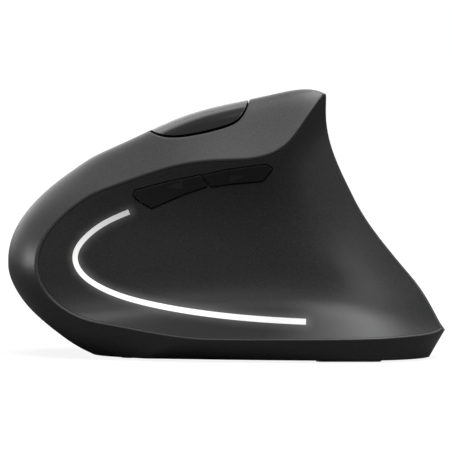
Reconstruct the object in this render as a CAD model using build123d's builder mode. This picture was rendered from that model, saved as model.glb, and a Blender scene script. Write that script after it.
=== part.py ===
from build123d import *
from math import cos, hypot, pi, radians, sin, sqrt
import os

os.makedirs("parts", exist_ok=True)

# Right-handed vertical mouse. X is its length with the nose at -X, the thumb side faces -Y,
# the finger side faces +Y, and Z is up from the desk. Lengths are millimetres.

# Driving dimensions of the whole body
length = 120.0
half_length = length / 2
half_width = 31.5
height = 74.0
stand_off = 0.7
lip_height = 8.0
skirt_top = 2 * lip_height
cutter_reach = 160.0

# Skins and fits
wall = 2.0
panel_thickness = 1.8
key_thickness = 1.8
rim_width = 0.72
panel_seam = 0.08
rest_gap = 0.05
key_gap = 0.35
button_gap = 0.32
fit_gap = 0.15
bore_gap = 0.05
nose_reach = 24.0
stern_reach = 38.0
stern_start = 30.0
lean_limit = 0.95
lip_handle_share = 0.4

# Body sections from the nose to the stern. Stations are shares of half_length, then come the
# ridge, its finger-side handle, the lip's upper handle, the finger lip, the lip's lower handle,
# the keel, the keel's half width, the thumb side, its two handles and the ridge's thumb-side
# handle, as shares of half_width across and of height upwards.
hull_shares = (
    (-0.9995, (-0.029, 0.362), (0.007, 0), (0, 0.003), (-0.016, 0.357), 0.003,
     (-0.029, 0.351), 0.007, (-0.041, 0.357), 0.003, 0.003, (0.007, 0)),
    (-0.9917, (-0.032, 0.418), (0.076, 0), (0, 0.031), (0.108, 0.357), 0.03,
     (-0.029, 0.305), 0.073, (-0.165, 0.358), 0.03, 0.03, (0.073, 0)),
    (-0.9667, (-0.038, 0.476), (0.146, 0), (0, 0.059), (0.241, 0.349), 0.059,
     (-0.025, 0.257), 0.146, (-0.305, 0.358), 0.057, 0.054, (0.146, 0)),
    (-0.9167, (-0.051, 0.541), (0.222, 0), (0, 0.1), (0.394, 0.332), 0.089,
     (-0.019, 0.197), 0.229, (-0.451, 0.358), 0.089, 0.081, (0.203, 0)),
    (-0.8333, (-0.063, 0.614), (0.298, 0), (-0.016, 0.142), (0.546, 0.304), 0.127,
     (-0.01, 0.13), 0.305, (-0.584, 0.358), 0.127, 0.103, (0.222, 0.003)),
    (-0.7167, (-0.076, 0.689), (0.356, 0), (-0.063, 0.189), (0.679, 0.257), 0.149,
     (0, 0.057), 0.381, (-0.743, 0.354), 0.149, 0.111, (0.21, 0.008)),
    (-0.5667, (-0.086, 0.765), (0.387, 0), (-0.159, 0.189), (0.806, 0.196), 0.162,
     (0, -0.008), 0.413, (-0.883, 0.349), 0.17, 0.116, (0.19, 0.014)),
    (-0.3333, (-0.095, 0.853), (0.4, 0), (-0.254, 0.149), (0.927, 0.132), 0.135,
     (0, -0.108), 0.508, (-1.01, 0.341), 0.189, 0.119, (0.171, 0.018)),
    (-0.0333, (-0.102, 0.939), (0.381, 0), (-0.286, 0.149), (1.003, 0.114), 0.135,
     (0, -0.216), 0.635, (-1.111, 0.331), 0.216, 0.122, (0.159, 0.02)),
    (0.2333, (-0.105, 0.986), (0.333, 0), (-0.286, 0.162), (1.01, 0.111), 0.135,
     (0, -0.27), 0.635, (-1.19, 0.324), 0.216, 0.122, (0.159, 0.022)),
    (0.3667, (-0.114, 1.003), (0.241, -0.022), (-0.317, 0.162), (0.984, 0.111), 0.135,
     (-0.032, -0.284), 0.635, (-1.254, 0.324), 0.216, 0.122, (0.159, 0.022)),
    (0.4833, (-0.159, 0.973), (0.133, -0.127), (-0.349, 0.149), (0.946, 0.111), 0.135,
     (-0.063, -0.297), 0.635, (-1.333, 0.324), 0.216, 0.122, (0.159, 0.014)),
    (0.6, (-0.381, 0.776), (0.222, -0.138), (-0.317, 0.122), (0.876, 0.114), 0.135,
     (-0.19, -0.297), 0.571, (-1.524, 0.297), 0.189, 0.122, (0.317, -0.027)),
    (0.7667, (-0.635, 0.641), (0.241, -0.197), (-0.381, 0.081), (0.679, 0.116), 0.108,
     (-0.444, -0.297), 0.508, (-1.778, 0.27), 0.162, 0.122, (0.317, -0.027)),
    (0.9, (-0.921, 0.5), (0.317, -0.19), (-0.356, 0.049), (0.394, 0.119), 0.081,
     (-0.825, -0.297), 0.444, (-2.063, 0.243), 0.135, 0.122, (0.317, -0.027)),
    (0.9583, (-1.095, 0.392), (0.302, -0.162), (-0.349, 0.026), (0.175, 0.118), 0.075,
     (-0.984, -0.297), 0.413, (-2.254, 0.23), 0.135, 0.122, (0.317, -0.027)),
    (1.0167, (-1.27, 0.27), (0.302, -0.122), (-0.317, 0.005), (-0.222, 0.086), 0.068,
     (-1.175, -0.297), 0.381, (-2.413, 0.189), 0.135, 0.108, (0.317, -0.027)),
    (1.075, (-1.444, 0.135), (0.254, -0.081), (-0.254, 0.007), (-0.635, 0.014), 0.054,
     (-1.365, -0.297), 0.349, (-2.54, 0.108), 0.108, 0.068, (0.254, -0.014)),
)

# Plan curves of the scooped thumb face, bottom to top: height as a share of height, how far
# the face lies over towards the desk there, and points as shares of half_length, half_width
thumb_shares = (
    (-0.108, 0.96, ((-1.333, -1.968), (-0.667, -2.063), (0, -2.159), (0.417, -2.222),
                    (0.75, -2.095), (0.967, -1.714), (1.117, -1.333), (1.233, -0.952))),
    (0.041, 0.96, ((-1.333, -1.333), (-0.667, -1.46), (0, -1.524), (0.417, -1.587),
                   (0.75, -1.46), (0.933, -1.143), (1.067, -0.825), (1.183, -0.508))),
    (0.083, 0.95, ((-1.333, -0.825), (-0.667, -0.937), (0, -0.99), (0.4, -1.035),
                   (0.7, -0.985), (0.9, -0.8), (1.025, -0.508), (1.133, -0.19))),
    (0.138, 0.9, ((-1.333, -0.603), (-0.667, -0.686), (0, -0.724), (0.4, -0.794),
                  (0.667, -0.775), (0.867, -0.616), (0.993, -0.397), (1.1, -0.159))),
    (0.203, 0.6, ((-1.333, -0.54), (-0.717, -0.54), (0, -0.495), (0.367, -0.559),
                  (0.617, -0.584), (0.8, -0.502), (0.947, -0.343), (1.05, -0.159))),
    (0.326, 0.15, ((-1.333, -0.635), (-0.767, -0.495), (0, -0.368), (0.3, -0.394),
                   (0.5, -0.419), (0.683, -0.349), (0.83, -0.222), (0.967, -0.063))),
    (0.486, 0, ((-1.333, -0.635), (-0.767, -0.476), (0, -0.362), (0.233, -0.375),
                (0.4, -0.343), (0.533, -0.248), (0.69, -0.108), (0.81, 0.032))),
    (0.657, 0, ((-1.333, -0.635), (-0.767, -0.495), (0, -0.444), (0.21, -0.446),
                (0.3, -0.395), (0.4, -0.248), (0.515, -0.063), (0.655, 0.127))),
    (0.784, 0, ((-1.333, -0.635), (-0.767, -0.533), (0, -0.54), (0.225, -0.53),
                (0.272, -0.487), (0.353, -0.311), (0.455, -0.048), (0.575, 0.216))),
    (0.946, 0, ((-1.333, -0.635), (-0.767, -0.552), (0, -0.552), (0.25, -0.552),
                (0.325, -0.495), (0.408, -0.298), (0.458, -0.076), (0.6, 0.286))),
    (1.135, 0, ((-1.333, -0.635), (-0.767, -0.552), (0, -0.552), (0.28, -0.552),
                (0.37, -0.495), (0.43, -0.298), (0.465, -0.076), (0.6, 0.286))),
)

# Plan outline of the skirt at the lip and at the shell's bottom edge, as shares of
# half_length and half_width
skirt_shares = (
    ((-1.1, 0), (-1.033, 0)),
    ((-0.933, -0.571), (-0.867, -0.444)),
    ((-0.567, -0.873), (-0.5, -0.54)),
    ((-0.067, -0.99), (-0.033, -0.698)),
    ((0.433, -1.022), (0.4, -0.825)),
    ((0.717, -0.946), (0.683, -0.825)),
    ((0.908, -0.717), (0.86, -0.635)),
    ((1.002, -0.397), (0.928, -0.413)),
    ((1.003, -0.095), (0.933, -0.127)),
    ((0.917, 0.394), (0.858, 0.302)),
    ((0.733, 0.762), (0.692, 0.651)),
    ((0.4, 0.984), (0.383, 0.851)),
    ((-0.067, 1.016), (-0.067, 0.87)),
    ((-0.567, 0.921), (-0.533, 0.762)),
    ((-0.933, 0.571), (-0.867, 0.444)),
)
ring_points_per_quarter = 4


def across(pair):
    """Turn a pair of shares into millimetres across and up."""
    return (pair[0] * half_width, pair[1] * height)


def bezier_point(ends, share):
    """Point on a cubic curve given by its two ends and two handles."""
    rest = 1 - share
    weights = (rest**3, 3 * rest**2 * share, 3 * rest * share**2, share**3)
    return tuple(sum(w * end[axis] for w, end in zip(weights, ends)) for axis in (0, 1))


def shifted(points, amount, closed):
    """Move each point of an outline to the right of its run, square to it, by amount."""
    moved = []
    count = len(points)
    for index, (u, v) in enumerate(points):
        before = points[index - 1] if closed or index else points[0]
        after = points[(index + 1) % count] if closed or index + 1 < count else points[-1]
        run_u, run_v = after[0] - before[0], after[1] - before[1]
        run = hypot(run_u, run_v)
        moved.append((u + amount * run_v / run, v - amount * run_u / run))
    return moved


def hull_ring(row, inset):
    """Closed ring of points of one body section, drawn in by inset."""
    ridge, ridge_handle, lip_handle, lip = (across(pair) for pair in row[1:5])
    lip_drop = row[5] * height
    keel = across(row[6])
    keel_half = row[7] * half_width
    side = across(row[8])
    side_drop, side_rise = row[9] * height, row[10] * height
    ridge_left = across(row[11])
    quarters = (
        (side, (side[0], side[1] + side_rise),
         (ridge[0] - ridge_left[0], ridge[1] - ridge_left[1]), ridge),
        (ridge, (ridge[0] + ridge_handle[0], ridge[1] + ridge_handle[1]),
         (lip[0] + lip_handle[0], lip[1] + lip_handle[1]), lip),
        (lip, (lip[0] + lip_drop * lip_handle_share, lip[1] - lip_drop),
         (keel[0] + keel_half, keel[1]), keel),
        (keel, (keel[0] - keel_half, keel[1]), (side[0], side[1] - side_drop), side),
    )
    steps = range(ring_points_per_quarter)
    ring = [bezier_point(q, step / ring_points_per_quarter) for q in quarters for step in steps]
    return shifted(ring, inset, closed=True)


def hull_form(inset):
    """Egg-shaped body before the thumb face is scooped out, drawn in by inset."""
    with BuildPart() as form:
        for row in hull_shares:
            station = row[0] * half_length
            nose_lean = max(0.0, 1 - (station + half_length) / nose_reach)
            stern_lean = min(lean_limit, max(0.0, (station - stern_start) / stern_reach))
            lean = max(nose_lean, stern_lean)
            along = nose_lean - stern_lean
            with BuildSketch(Plane.YZ.offset(station + inset * along)):
                with BuildLine():
                    Spline(*hull_ring(row, inset * sqrt(1 - lean**2)), periodic=True)
                make_face()
        loft()
    return form.part


def thumb_form(grow):
    """Everything on the thumb side of the scooped face, grown into the body by grow."""
    with BuildPart() as form:
        for level, lay, places in thumb_shares:
            curve = [(x * half_length, y * half_width) for x, y in places]
            curve = shifted(curve, -grow * sqrt(1 - lay**2), closed=False)
            with BuildSketch(Plane.XY.offset(level * height - grow * lay)):
                with BuildLine():
                    Spline(*curve)
                    Polyline(
                        curve[-1],
                        (cutter_reach, curve[-1][1]),
                        (cutter_reach, -cutter_reach),
                        (curve[0][0], -cutter_reach),
                        curve[0],
                    )
                make_face()
        loft()
    return form.part


def skirt_outline(level, inset):
    """Plan outline of the skirt at a level, drawn in by inset."""
    rise = (level - stand_off) / (lip_height - stand_off)
    points = []
    for lip, foot in skirt_shares:
        x = (foot[0] + (lip[0] - foot[0]) * rise) * half_length
        y = (foot[1] + (lip[1] - foot[1]) * rise) * half_width
        points.append((x, y))
    return shifted(points, -inset, closed=True)


def skirt_form(inset, bottom, top):
    """Tapered cup that gives the body its undercut skirt, with upright walls above skirt_top."""
    with BuildPart() as form:
        for level, taper_level in ((bottom, bottom), (skirt_top, skirt_top), (top, skirt_top)):
            with BuildSketch(Plane.XY.offset(level)):
                with BuildLine():
                    Spline(*skirt_outline(taper_level, inset), periodic=True)
                make_face()
        loft(ruled=True)
    return form.part


outer_hull = hull_form(0)
outer_body = outer_hull & skirt_form(0, stand_off, cutter_reach)
thumb_cut = thumb_form(0)
cavity = hull_form(wall) & skirt_form(wall, -wall, cutter_reach)
panel_bed_side = hull_form(rim_width) & skirt_form(rim_width, stand_off, cutter_reach)
panel_inset = rim_width + panel_seam
panel_side = hull_form(panel_inset) & skirt_form(panel_inset, stand_off, cutter_reach)
panel_back = thumb_form(panel_thickness)
panel_bed = panel_bed_side & thumb_form(panel_thickness + rest_gap)
key_cavity = hull_form(key_thickness)
half_skin = hull_form(key_thickness / 2)

# Finger frame: a plane under the click keys, its X along the mouse and its Y down the slope
finger_tilt = 30.0
finger_rise = 30.0
finger_z = (0, cos(radians(finger_tilt)), sin(radians(finger_tilt)))
finger = Plane(origin=(0, 0, finger_rise), x_dir=(1, 0, 0), z_dir=finger_z)
prism_low = 4.0
prism_high = 46.0

# Click keys and the strip that carries the wheel between them. Outline shares are of
# key_length from the rear end forwards, and of each key's own rise across.
key_back = -3.0
key_length = 53.0
strip_centre = -3.0
strip_half = 5.5
strip_front_share = 0.98
left_rise = 22.5
right_rise = 17.0
left_key_shares = ((0, 1), (0.23, 0.99), (0.48, 0.87), (0.76, 0.62), (0.9, 0.46), (0.93, 0.41))
right_key_shares = ((0, 1), (0.23, 1), (0.48, 0.94), (0.76, 0.73), (0.9, 0.5), (0.98, 0.26))
left_edge = strip_centre - strip_half - key_gap
right_edge = strip_centre + strip_half + key_gap


def key_outline(shares, rise, edge):
    """Outline of a click key in the finger plane."""
    rim = [(key_back - x * key_length, y * rise) for x, y in shares]
    with BuildSketch() as outline:
        with BuildLine():
            Spline(*rim)
            Polyline(rim[-1], (rim[-1][0], edge), (key_back, edge), rim[0])
        make_face()
    return outline.sketch


def key_prism(shares, rise, edge):
    """Prism square to the finger plane in the outline of a click key."""
    with BuildPart() as form:
        with BuildSketch(finger.offset(prism_low)):
            add(key_outline(shares, rise, edge))
        extrude(amount=prism_high - prism_low)
    return form.part


def strip_outline():
    """Outline of the wheel strip in the finger plane, rounded at the nose."""
    strip_length = key_length * strip_front_share
    with BuildSketch() as outline:
        with Locations((key_back - strip_length / 2, strip_centre)):
            Rectangle(strip_length, 2 * strip_half)
        fillet(outline.vertices().sort_by(Axis.X)[:2], strip_half / 2)
    return outline.sketch


def strip_prism():
    """Prism square to the finger plane in the outline of the wheel strip."""
    with BuildPart() as form:
        with BuildSketch(finger.offset(prism_low)):
            add(strip_outline())
        extrude(amount=prism_high - prism_low)
    return form.part


# Thumb buttons, as shares of the row's span along the mouse and of its rise
button_row_x = -25.5
button_row_z = 41.9
button_span = 39.0
button_rise = 12.2
button_proud = 0.3
forward_shares = (
    (0.013, 0.4), (0.245, 0.6), (0.475, 0.755), (0.52, 0.5), (0.364, 0.328), (0.13, 0.0),
    (0.03, 0.2), (0.002, 0.3),
)
back_shares = (
    (0.49, 0.75), (0.69, 0.895), (0.89, 0.985), (0.947, 0.995), (0.985, 0.91), (0.919, 0.635),
    (0.859, 0.615), (0.708, 0.57), (0.553, 0.5),
)


def button_prism(shares, gap):
    """Prism across the mouse in the outline of a thumb button, grown by gap."""
    corners = [(button_row_x + x * button_span, button_row_z + z * button_rise) for x, z in shares]
    with BuildPart() as form:
        with BuildSketch(Plane.XZ):
            with BuildLine():
                Polyline(*corners, close=True)
            make_face()
            if gap:
                offset(amount=gap)
        extrude(amount=half_width)
    return form.part


# Light guide: its centre line, as shares of the guide's span along the mouse and of its rise
guide_x = -41.5
guide_z = 11.1
guide_span = 63.7
guide_rise = 29.8
guide_width = 1.4
guide_depth = 2.8
guide_proud = 0.08
guide_shares = (
    (0.234, 1), (0.121, 0.889), (0.047, 0.768), (0.006, 0.644), (0, 0.579), (0.017, 0.466),
    (0.085, 0.335), (0.16, 0.255), (0.308, 0.16), (0.457, 0.1), (0.68, 0.043), (1, 0.005),
)


def guide_prism(gap):
    """Prism across the mouse along the light guide, grown by gap."""
    with BuildPart() as form:
        with BuildSketch(Plane.XZ):
            with BuildLine() as centre_line:
                Spline(*[(guide_x + x * guide_span, guide_z + z * guide_rise) for x, z in guide_shares])
            trace(centre_line.line, line_width=guide_width + 2 * gap)
        extrude(amount=half_width)
    return form.part


# Resolution button on the ridge, a plan outline as shares of its length and half width
dpi_front = -20.6
dpi_length = 26.6
dpi_half = 6.4
dpi_centre = -3.0
dpi_gap = 0.55
dpi_thickness = 1.6
dpi_shares = ((0, 0), (0.06, -0.42), (0.22, -0.82), (0.44, -1), (0.76, -1), (0.93, -0.8), (1, -0.3))


def dpi_prism(gap):
    """Upright prism in the outline of the resolution button, grown by gap."""
    near = [(dpi_front + x * dpi_length, dpi_centre + y * dpi_half) for x, y in dpi_shares]
    far = [(x, 2 * dpi_centre - y) for x, y in near[1:]]
    with BuildPart() as form:
        with BuildSketch(Plane.XY.offset(height / 2)):
            with BuildLine():
                Spline(*shifted(near + far[::-1], gap, closed=True), periodic=True)
            make_face()
        extrude(amount=height)
    return form.part


# Screw pillars that join the shell to the base plate
plate_thickness = 2.0
plate_top = stand_off + plate_thickness
pillar_radius = 2.5
shell_screw_radius = 1.0
shell_screw_length = 9.0
pillar_spots = ((48.5, -4.0), (-20.0, 20.5), (18.0, 20.6))
pillar_base = plate_top + rest_gap
pillar_top = 15.0
pillar_reach = 16.0
gusset_width = 1.6

with BuildPart() as pillar_solids:
    with BuildSketch(Plane.XY.offset(pillar_base)):
        with Locations(*pillar_spots):
            Circle(pillar_radius)
    extrude(amount=pillar_top - pillar_base)
    with BuildSketch(Plane.XY.offset(pillar_base)):
        with Locations(pillar_spots[0]):
            Rectangle(pillar_reach, gusset_width, align=(Align.MIN, Align.CENTER))
        with Locations(*pillar_spots[1:]):
            Rectangle(gusset_width, pillar_reach, align=(Align.CENTER, Align.MIN))
    extrude(amount=pillar_top - pillar_base)
    with BuildSketch(Plane.XY.offset(pillar_base)):
        with Locations(*pillar_spots):
            Circle(shell_screw_radius + bore_gap)
    extrude(amount=shell_screw_length, mode=Mode.SUBTRACT)
pillars = pillar_solids.part & (hull_form(wall / 2) & skirt_form(wall / 2, 0, cutter_reach))

# Resolution button's board hangs from two bosses under the ridge
board_thickness = 1.2
boss_radius = 1.6
board_screw_radius = 0.75
board_screw_head_radius = 1.4
board_screw_head = 0.8
board_screw_length = 3.6
dpi_board_z = 57.4
dpi_board_x = (-11.0, 16.0)
dpi_board_width = 6.0
dpi_boss_spots = ((8.8, dpi_centre), (13.6, dpi_centre))
with BuildPart() as dpi_boss_solids:
    with BuildSketch(Plane.XY.offset(dpi_board_z + board_thickness)):
        with Locations(*dpi_boss_spots):
            Circle(boss_radius)
            Circle(board_screw_radius + bore_gap, mode=Mode.SUBTRACT)
    extrude(amount=height / 2)
dpi_bosses = dpi_boss_solids.part & hull_form(wall / 2)

# Opening for both keys and the strip, cut as one
opening_front = key_back - key_length * strip_front_share - key_gap
opening_back = key_back + key_gap
left_rim = [(key_back - x * key_length, -y * left_rise) for x, y in left_key_shares]
right_rim = [(key_back - x * key_length, y * right_rise) for x, y in right_key_shares]
left_rim = shifted(left_rim, -key_gap, closed=False)
right_rim = shifted(right_rim, key_gap, closed=False)
with BuildPart() as key_opening:
    with BuildSketch(finger.offset(prism_low)):
        with BuildLine():
            Spline(*left_rim)
            Polyline(
                left_rim[-1],
                (opening_front, strip_centre - strip_half),
                (opening_front, strip_centre + strip_half),
                right_rim[-1],
            )
            Spline(*right_rim)
            Polyline(
                right_rim[0],
                (opening_back, right_rim[0][1]),
                (opening_back, left_rim[0][1]),
                left_rim[0],
            )
        make_face()
    extrude(amount=prism_high - prism_low)

# Main shell: palm side, ridge band, nose and skirt in one moulding
shell_skin = outer_body - cavity - thumb_cut - panel_bed - key_opening.part - dpi_prism(dpi_gap)
with BuildPart() as main_shell:
    add(shell_skin + pillars + dpi_bosses)
main_shell.part.label = "main_shell"
export_step(main_shell.part, "parts/main_shell.step")

# Side button board stands behind the thumb panel on two standoffs
side_board_x = (-30.5, 19.0)
side_board_z = (44.4, 53.8)
side_board_front = 7.6
side_board_corner = 2.6
standoff_spots = ((-28.4, 47.2), (16.4, 50.4))

# Light boards behind the guide's upper end and its nose bend, each on a post of the panel
led_spots = ((-27.6, 40.4), (-41.2, 28.4))
led_post_spots = ((-25.0, 39.2), (-38.6, 28.4))
led_faces = (9.4, 10.9)
led_size = 2.8
led_depth = 2.6
led_post_radius = 0.9
led_board_size = (7.4, 5.0)

# Thumb panel: the scooped skin that carries the thumb buttons and the light guide
with BuildPart() as standoff_solids:
    with BuildSketch(Plane.XZ.offset(side_board_front)):
        with Locations(*standoff_spots):
            Circle(boss_radius)
    extrude(amount=half_width)
    for spot, face in zip(led_post_spots, led_faces):
        with BuildSketch(Plane.XZ.offset(face)):
            with Locations(spot):
                Circle(led_post_radius)
        extrude(amount=half_width)
standoffs = (standoff_solids.part & panel_side) - thumb_form(panel_thickness / 2)
panel_skin = (panel_side & panel_back) - thumb_cut
panel_skin = panel_skin - button_prism(forward_shares, button_gap)
panel_skin = panel_skin - button_prism(back_shares, button_gap) - guide_prism(bore_gap)
with BuildPart() as thumb_panel:
    add(panel_skin + standoffs)
    with BuildSketch(Plane.XZ.offset(side_board_front)):
        with Locations(*standoff_spots):
            Circle(board_screw_radius + bore_gap)
    extrude(amount=board_screw_length, mode=Mode.SUBTRACT)
thumb_panel.part.label = "thumb_panel"
export_step(thumb_panel.part, "parts/thumb_panel.step")

# Thumb buttons: caps with a post each that reaches its tact switch
tact_size = 5.0
tact_body = 2.4
tact_stem = 0.7
tact_stem_radius = 1.2
post_radius = 1.3
press_gap = 0.55
button_thickness = 1.2
forward_spot = (-14.5, 47.2)
back_spot = (3.0, 51.0)
post_tip = side_board_front + tact_body + tact_stem + press_gap
button_skin = thumb_form(button_thickness) - thumb_form(-button_proud)


def button_post(spot):
    """Post from a button cap's back towards its tact switch."""
    with BuildPart() as form:
        with BuildSketch(Plane.XZ.offset(post_tip)):
            with Locations(spot):
                Circle(post_radius)
        extrude(amount=half_width)
    return form.part - thumb_form(button_thickness / 2)


with BuildPart() as forward_button:
    add(button_prism(forward_shares, 0) & button_skin)
    add(button_post(forward_spot))
forward_button.part.label = "forward_button"
export_step(forward_button.part, "parts/forward_button.step")

with BuildPart() as back_button:
    add(button_prism(back_shares, 0) & button_skin)
    add(button_post(back_spot))
back_button.part.label = "back_button"
export_step(back_button.part, "parts/back_button.step")

# Light guide, let into the panel and standing a hair proud of it
with BuildPart() as light_guide:
    add(guide_prism(0) & thumb_form(guide_depth))
    add(thumb_form(-guide_proud), mode=Mode.SUBTRACT)
light_guide.part.label = "light_guide"
export_step(light_guide.part, "parts/light_guide.step")

# One LED on each light board, facing the guide
with BuildPart() as leds:
    for spot, face in zip(led_spots, led_faces):
        with BuildSketch(Plane.XZ.offset(face)):
            with Locations(spot):
                Rectangle(led_size, led_size)
        extrude(amount=led_depth)
    add(thumb_form(guide_depth + rest_gap), mode=Mode.SUBTRACT)
leds.part.label = "leds"
export_step(leds.part, "parts/leds.step")

with BuildPart() as led_boards:
    for spot, face in zip(led_spots, led_faces):
        with BuildSketch(Plane.XZ.offset(face)):
            with Locations(spot):
                Rectangle(*led_board_size)
        extrude(amount=-board_thickness)
led_boards.part.label = "led_boards"
export_step(led_boards.part, "parts/led_boards.step")

# Side button board with its two tact switches
with BuildPart() as side_button_board:
    with BuildSketch(Plane.XZ.offset(side_board_front)):
        with Locations((sum(side_board_x) / 2, sum(side_board_z) / 2)):
            outline = Rectangle(side_board_x[1] - side_board_x[0], side_board_z[1] - side_board_z[0])
        chamfer(outline.vertices().sort_by(Axis.X)[:2].sort_by(Axis.Y)[-1], side_board_corner)
        with Locations(*standoff_spots):
            Circle(board_screw_radius + fit_gap, mode=Mode.SUBTRACT)
    extrude(amount=-board_thickness)
side_button_board.part.label = "side_button_board"
export_step(side_button_board.part, "parts/side_button_board.step")


def tact_switch(plane, spot):
    """Square tact switch with its round stem, standing on a board."""
    with BuildPart() as form:
        with BuildSketch(plane):
            with Locations(spot):
                RectangleRounded(tact_size, tact_size, tact_stem)
        extrude(amount=tact_body)
        with BuildSketch(plane.offset(tact_body)):
            with Locations(spot):
                Circle(tact_stem_radius)
        extrude(amount=tact_stem)
    return form.part


side_board_plane = Plane.XZ.offset(side_board_front)
with BuildPart() as forward_tact:
    add(tact_switch(side_board_plane, forward_spot))
forward_tact.part.label = "forward_tact"
export_step(forward_tact.part, "parts/forward_tact.step")

with BuildPart() as back_tact:
    add(tact_switch(side_board_plane, back_spot))
back_tact.part.label = "back_tact"
export_step(back_tact.part, "parts/back_tact.step")

# Resolution button on the ridge with its board and tact switch
dpi_spot = (-7.0, dpi_centre)
dpi_rim = 1.2
dpi_rim_depth = 2.6
dpi_tact_top = dpi_board_z + board_thickness + tact_body + tact_stem
with BuildPart() as dpi_post:
    with BuildSketch(Plane.XY.offset(dpi_tact_top + press_gap)):
        with Locations(dpi_spot):
            Circle(post_radius)
    extrude(amount=height / 2)
dpi_hollow = hull_form(dpi_thickness)
dpi_cap = (dpi_prism(0) & outer_hull) - hull_form(dpi_rim_depth) - (dpi_hollow & dpi_prism(-dpi_rim))
with BuildPart() as dpi_button:
    add(dpi_cap + (dpi_post.part & hull_form(dpi_thickness / 2)))
dpi_button.part.label = "dpi_button"
export_step(dpi_button.part, "parts/dpi_button.step")

with BuildPart() as dpi_board:
    with BuildSketch(Plane.XY.offset(dpi_board_z)):
        with Locations((sum(dpi_board_x) / 2, dpi_centre)):
            Rectangle(dpi_board_x[1] - dpi_board_x[0], dpi_board_width)
        with Locations(*dpi_boss_spots):
            Circle(board_screw_radius + fit_gap, mode=Mode.SUBTRACT)
    extrude(amount=board_thickness)
dpi_board.part.label = "dpi_board"
export_step(dpi_board.part, "parts/dpi_board.step")

with BuildPart() as dpi_tact:
    add(tact_switch(Plane.XY.offset(dpi_board_z + board_thickness), dpi_spot))
dpi_tact.part.label = "dpi_tact"
export_step(dpi_tact.part, "parts/dpi_tact.step")

# Levels above the finger plane: frame plate, board and switches
frame_low = 1.4
frame_high = 3.0
switch_board_low = 4.0
switch_board_high = switch_board_low + board_thickness
micro_length = 12.8
micro_width = 5.8
micro_body = 6.0
micro_button = 0.8
micro_x = -18.0
micro_button_x = -21.0
left_switch_y = -11.8
right_switch_y = 6.2
micro_top = switch_board_high + micro_body + micro_button

# Wheel: centre above the finger plane, tyre, hub and axle
wheel_x = -31.0
wheel_level = 9.4
wheel_radius = 10.0
tyre_depth = 2.0
tyre_width = 6.4
hub_width = 5.4
axle_radius = 1.2
arm_gap = 0.6
arm_thickness = 1.4
cradle_bar = 2.8
cradle_low = 7.7
cradle_high = 11.1
cradle_clear = 0.7
wheel_slot_half = wheel_radius + cradle_clear
arm_inner = tyre_width / 2 + arm_gap
arm_outer = arm_inner + arm_thickness
encoder_length = 11.4
encoder_width = 5.6
encoder_high = 12.4
encoder_centre = strip_centre - arm_outer - arm_gap - encoder_width / 2


def click_key(shares, rise, edge, switch_y):
    """Click key: a piece of the body's skin with a plunger over its microswitch."""
    with BuildPart() as plunger:
        with BuildSketch(finger.offset(micro_top + press_gap)):
            with Locations((micro_button_x, switch_y)):
                Circle(post_radius)
        extrude(amount=prism_high)
    skin = (key_prism(shares, rise, edge) & outer_hull) - key_cavity
    return skin + (plunger.part & half_skin)


with BuildPart() as left_click_key:
    add(click_key(left_key_shares, -left_rise, left_edge, left_switch_y))
left_click_key.part.label = "left_click_key"
export_step(left_click_key.part, "parts/left_click_key.step")

with BuildPart() as right_click_key:
    add(click_key(right_key_shares, right_rise, right_edge, right_switch_y))
right_click_key.part.label = "right_click_key"
export_step(right_click_key.part, "parts/right_click_key.step")

# Wheel strip between the keys, on two posts that stand on the frame
strip_post_x = (-46.2, -9.0)
strip_post_radius = 1.2
slot_length = 19.4
slot_half = tyre_width / 2 + arm_gap
with BuildPart() as strip_posts:
    with BuildSketch(finger.offset(frame_high + rest_gap)):
        with Locations(*[(x, strip_centre) for x in strip_post_x]):
            Circle(strip_post_radius)
    extrude(amount=prism_high)
with BuildPart() as wheel_strip:
    add((strip_prism() & outer_hull) - key_cavity)
    add(strip_posts.part & half_skin)
    with BuildSketch(finger.offset(prism_low)):
        with Locations((wheel_x, strip_centre)):
            RectangleRounded(slot_length, 2 * slot_half, slot_half - rest_gap)
    extrude(amount=prism_high, mode=Mode.SUBTRACT)
wheel_strip.part.label = "wheel_strip"
export_step(wheel_strip.part, "parts/wheel_strip.step")

# Wheel hub, rubber tyre and axle, turning about the slope direction of the finger plane
wheel_plane = Plane(
    origin=finger.from_local_coords((wheel_x, strip_centre, wheel_level)),
    x_dir=(1, 0, 0),
    z_dir=(0, sin(radians(finger_tilt)), -cos(radians(finger_tilt))),
)
hub_radius = wheel_radius - tyre_depth
hub_rim = 1.6
hub_boss = 2.6
hub_web = 1.6
spoke_count = 6
rib_count = 30
rib_depth = 0.35
rib_share = 0.45
with BuildPart() as wheel_hub:
    with BuildSketch(wheel_plane):
        Circle(hub_radius)
        Circle(hub_radius - hub_rim, mode=Mode.SUBTRACT)
    extrude(amount=hub_width / 2, both=True)
    with BuildSketch(wheel_plane):
        Circle(hub_boss)
        with PolarLocations(0, spoke_count):
            Rectangle(hub_radius - hub_rim / 2, hub_web, align=(Align.MIN, Align.CENTER))
    extrude(amount=hub_web, both=True)
    with BuildSketch(wheel_plane):
        Circle(axle_radius)
    extrude(amount=hub_width, both=True, mode=Mode.SUBTRACT)
wheel_hub.part.label = "wheel_hub"
export_step(wheel_hub.part, "parts/wheel_hub.step")

tyre_edge = 0.6
with BuildPart() as wheel_tyre:
    with BuildSketch(wheel_plane):
        Circle(wheel_radius)
        Circle(hub_radius, mode=Mode.SUBTRACT)
    extrude(amount=tyre_width / 2, both=True)
    fillet(wheel_tyre.edges().filter_by(GeomType.CIRCLE).sort_by(SortBy.RADIUS)[-2:], tyre_edge)
    with BuildSketch(wheel_plane):
        with PolarLocations(wheel_radius, rib_count):
            Rectangle(2 * rib_depth, rib_share * 2 * pi * wheel_radius / rib_count)
    extrude(amount=tyre_width, both=True, mode=Mode.SUBTRACT)
wheel_tyre.part.label = "wheel_tyre"
export_step(wheel_tyre.part, "parts/wheel_tyre.step")

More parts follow.
